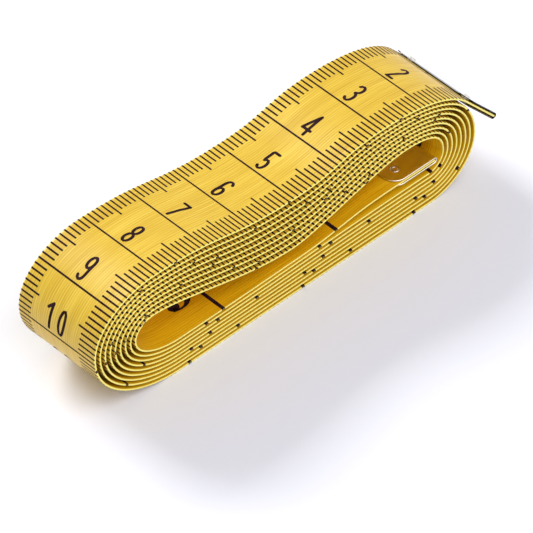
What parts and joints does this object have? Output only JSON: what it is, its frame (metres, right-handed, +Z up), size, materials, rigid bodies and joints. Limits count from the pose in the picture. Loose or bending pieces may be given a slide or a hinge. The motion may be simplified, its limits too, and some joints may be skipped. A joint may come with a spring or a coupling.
{
  "type": "cloth tape measure",
  "caption": "Flexible sewing tape measure wound flat into a waisted oval coil, with a folded metal clip and hollow rivets on each end, both ends able to flex.",
  "frame": {"origin": "middle of the bounding box in X and Y, at the bottom of the coil's flat lower run", "axes": "+X along the coil towards its free outer end, +Y across the tape's width, +Z up"},
  "size_m": [0.0915, 0.018, 0.0249],
  "materials": {
    "tape": "yellow vinyl-coated glass-fibre cloth, satin, printed in black",
    "clip": "bright plated thin steel sheet",
    "rivet": "bright plated hollow rivet"
  },
  "bodies": {
    "coil": {"tape_coil": "tape"},
    "outer_end": {"tape_outer_end": "tape", "outer_clip": "clip", "outer_rivet_front": "rivet", "outer_rivet_back": "rivet"},
    "inner_end": {"tape_inner_end": "tape", "inner_clip": "clip", "inner_rivet_front": "rivet", "inner_rivet_back": "rivet"}
  },
  "joints": [
    {"name": "outer_end_flex", "type": "hinge", "parent": "coil", "child": "outer_end", "pos_m": [0.0298, 0, 0.02216], "axis": [0, -1, 0], "range_deg": [0, 45], "stiffness_Nm_per_rad": 0.01},
    {"name": "inner_end_flex", "type": "hinge", "parent": "coil", "child": "inner_end", "pos_m": [0.00404, 0, 0.00749], "axis": [0, -1, 0], "range_deg": [-1, 8], "stiffness_Nm_per_rad": 0.03}
  ]
}
